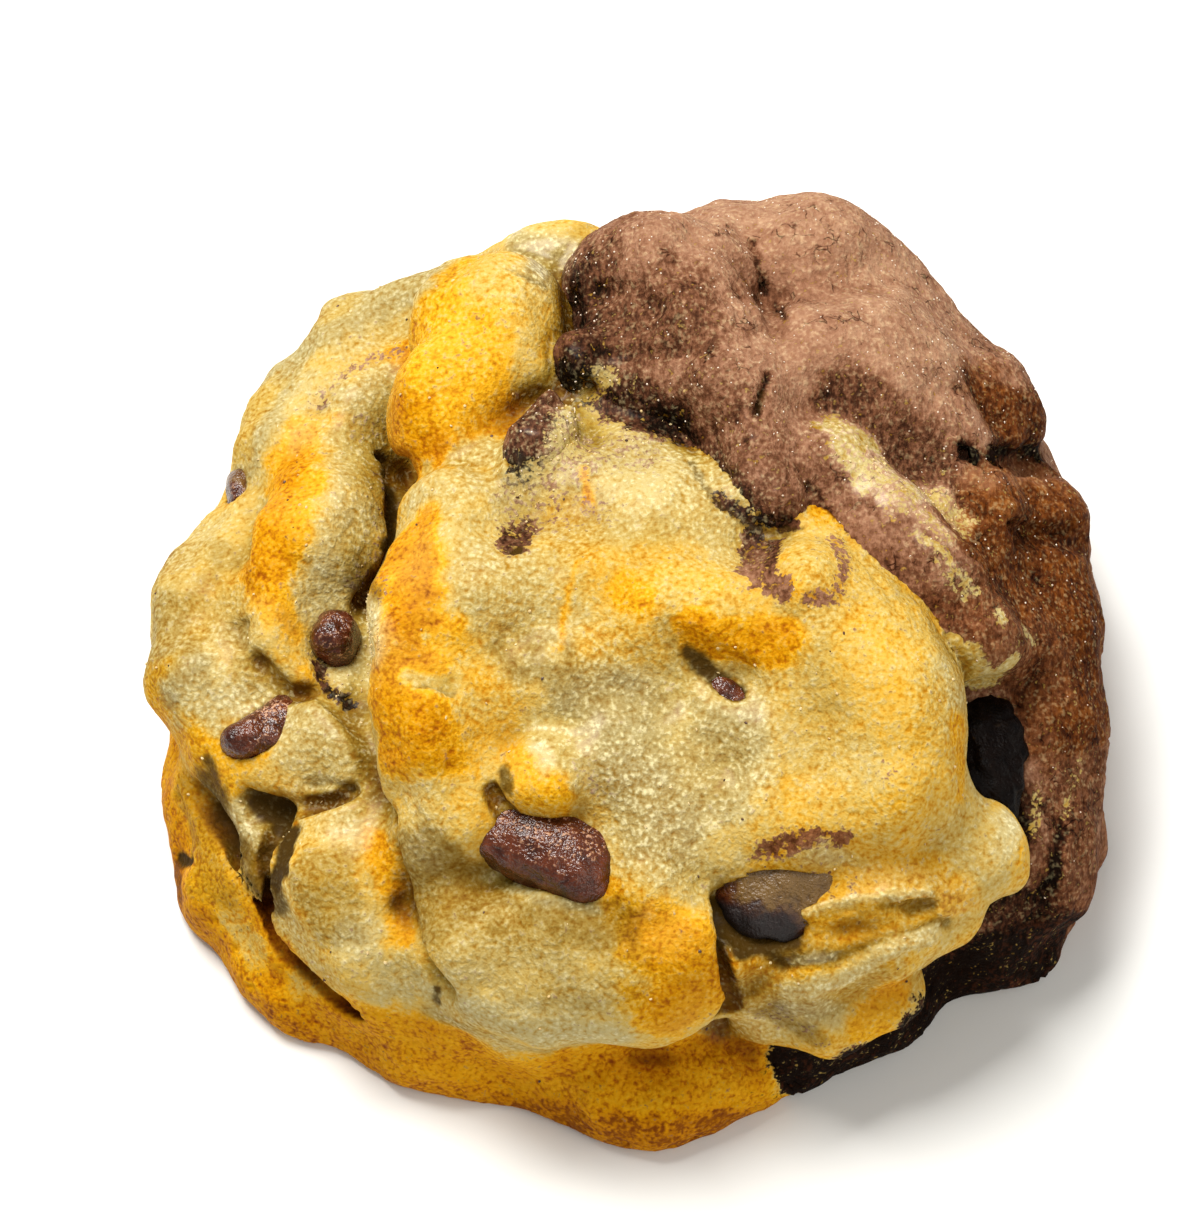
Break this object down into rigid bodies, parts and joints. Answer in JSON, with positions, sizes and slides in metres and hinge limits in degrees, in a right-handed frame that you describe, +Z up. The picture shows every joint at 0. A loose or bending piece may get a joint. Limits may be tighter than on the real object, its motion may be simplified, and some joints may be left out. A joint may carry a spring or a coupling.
{
  "type": "brookie",
  "caption": "Thick baked cookie of pale chocolate-chip dough and cocoa dough folded together, domed and lumpy on top, flat underneath, with chocolate chips at the surface.",
  "frame": {"origin": "middle of the bounding box at the flat underside", "axes": "+Z up out of the dome, -Y towards the front with the large chip, +X towards the cocoa dough"},
  "size_m": [0.0878, 0.0866, 0.0389],
  "materials": {
    "pale_dough": "baked golden crumb, orange-brown on the high folds and the foot, pale and buttery in the hollows",
    "cocoa_dough": "dry pinkish-brown cocoa crumb with cracks and fine sugar specks",
    "chocolate": "softened milk chocolate, half gloss with pale bloom",
    "dark_chocolate": "near-black rough chocolate with small glints"
  },
  "bodies": {
    "root": {"pale_dough": "pale_dough", "cocoa_dough": "cocoa_dough", "chip_front": "chocolate", "chip_right": "chocolate", "chip_cheek": "chocolate", "chip_valley": "chocolate", "chip_slot": "chocolate", "chip_rim": "chocolate", "chunk_dark": "dark_chocolate"}
  },
  "joints": []
}
